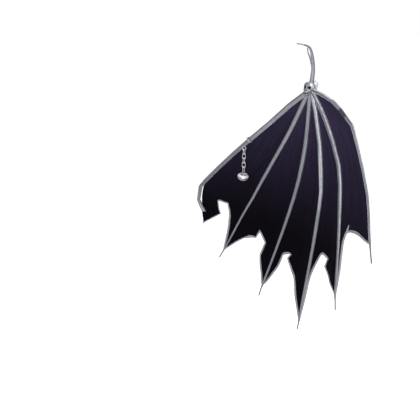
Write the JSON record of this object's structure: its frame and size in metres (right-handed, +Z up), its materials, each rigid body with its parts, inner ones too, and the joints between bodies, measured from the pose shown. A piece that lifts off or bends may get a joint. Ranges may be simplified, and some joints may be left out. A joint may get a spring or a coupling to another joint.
{
  "type": "devil wing",
  "caption": "Bat-like costume devil wing: dark cloth with a torn, piped hem on faceted silver bones, skulls and a hooked claw at the wrist, and a chain with an oval charm.",
  "frame": {"origin": "centre of the arm's level cut end at the shoulder, where the wing pins on", "axes": "+X outboard along the span, +Z up, -Y the front of the wearer"},
  "size_m": [0.4465, 0.1485, 0.63],
  "materials": {
    "silver_bone": "resin with satin silver paint, lighter on the ridges",
    "wing_cloth": "dark satin cloth, purple at the wrist and black at the hem",
    "silver_piping": "grey piping with a soft sheen",
    "polished_silver": "polished silver plate"
  },
  "bodies": {
    "wing": {"arm_bone": "silver_bone", "palm": "silver_bone", "finger_1": "silver_bone", "finger_2": "silver_bone", "finger_3": "silver_bone", "finger_4": "silver_bone", "finger_5": "silver_bone", "skull_front": "silver_bone", "skull_back": "silver_bone", "thumb_claw": "silver_bone", "thumb_spur": "silver_bone", "membrane_1": "wing_cloth", "hem_1": "silver_piping", "membrane_2": "wing_cloth", "hem_2": "silver_piping", "membrane_3": "wing_cloth", "hem_3": "silver_piping", "membrane_4": "wing_cloth", "hem_4": "silver_piping", "membrane_5": "wing_cloth", "hem_5": "silver_piping", "arm_collar": "polished_silver", "chain_link_1": "polished_silver", "chain_link_2": "polished_silver", "chain_link_3": "polished_silver", "chain_link_4": "polished_silver", "chain_link_5": "polished_silver"},
    "charm": {"charm": "polished_silver"}
  },
  "joints": [
    {"name": "charm_swing", "type": "hinge", "parent": "wing", "child": "charm", "pos_m": [0.0984, 0.0124, 0.1118], "axis": [0, 1, 0], "range_deg": [-45, 45]}
  ]
}
